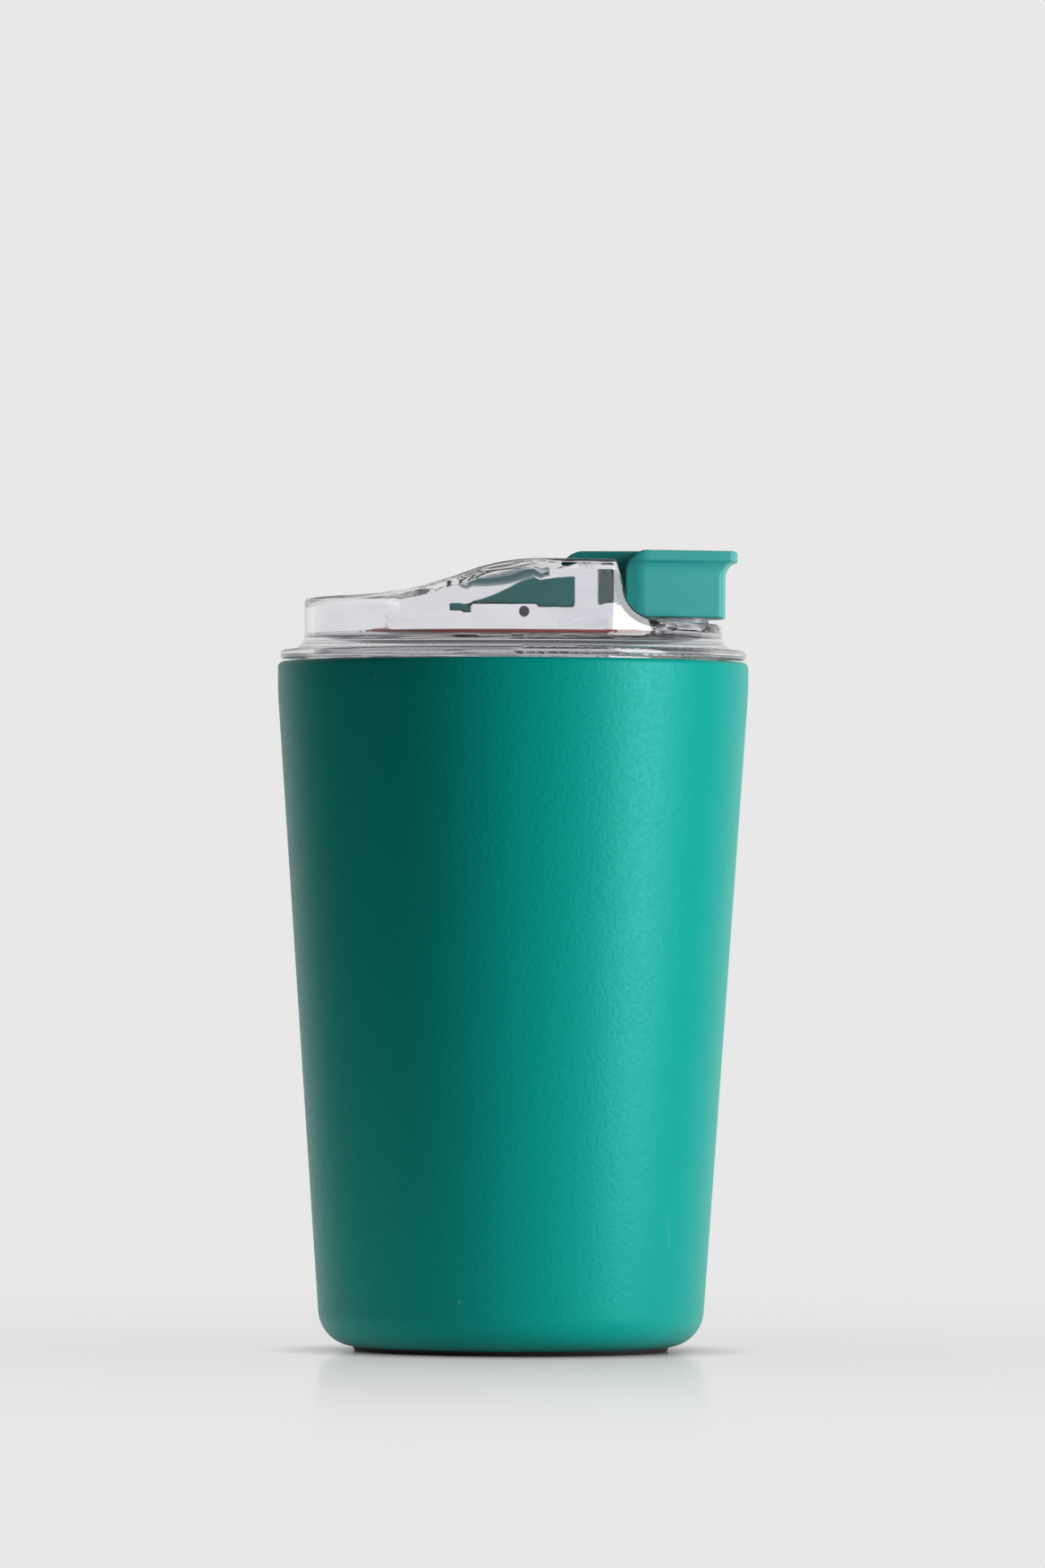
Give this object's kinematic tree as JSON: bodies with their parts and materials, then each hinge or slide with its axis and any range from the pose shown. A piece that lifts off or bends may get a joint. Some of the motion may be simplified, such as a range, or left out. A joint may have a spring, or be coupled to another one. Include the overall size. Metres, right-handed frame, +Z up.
{
  "type": "insulated travel cup",
  "caption": "Tapered double-walled steel travel cup with a clear push-on lid, a flip lever that closes the sip hole, and a rubber foot pad.",
  "frame": {"origin": "middle of the foot's underside, on the cup's axis", "axes": "+Z up along the cup's axis, +X towards the sip side and the lever's thumb tab, Y along the lever's hinge axis"},
  "size_m": [0.085, 0.085, 0.1442],
  "materials": {
    "powder_coat": "fine matt powder coat",
    "liner_steel": "electropolished stainless",
    "copper_foil": "bright copper foil",
    "solder": "fused solder",
    "getter_metal": "sintered",
    "foot_rubber": "matt moulded",
    "adhesive": "adhesive film",
    "clear_lid": "clear moulded copolyester",
    "seal_silicone": "moulded silicone",
    "lever_plastic": "satin moulded plastic",
    "pin_steel": "drawn pin",
    "plug_silicone": "translucent moulded silicone"
  },
  "bodies": {
    "cup": {"outer_shell": "powder_coat", "inner_liner": "liner_steel", "vacuum_foil": "copper_foil", "base_disc": "liner_steel", "vacuum_bead": "solder", "getter": "getter_metal", "getter_clip": "liner_steel", "foot_pad": "foot_rubber", "pad_adhesive": "adhesive"},
    "lid": {"lid_cover": "clear_lid", "lid_base": "clear_lid", "lid_gasket": "seal_silicone", "plug_seal": "seal_silicone", "hinge_carrier": "lever_plastic", "carrier_pin": "pin_steel"},
    "flip_lever": {"lever": "lever_plastic", "sip_plug": "plug_silicone"}
  },
  "joints": [
    {"name": "lid_lift", "type": "slide", "parent": "cup", "child": "lid", "axis": [0, 0, 1], "range_m": [0, 0.05]},
    {"name": "lever_hinge", "type": "hinge", "parent": "lid", "child": "flip_lever", "pos_m": [0.0172, 0, 0.1403], "axis": [0, -1, 0], "range_deg": [0, 100]}
  ]
}
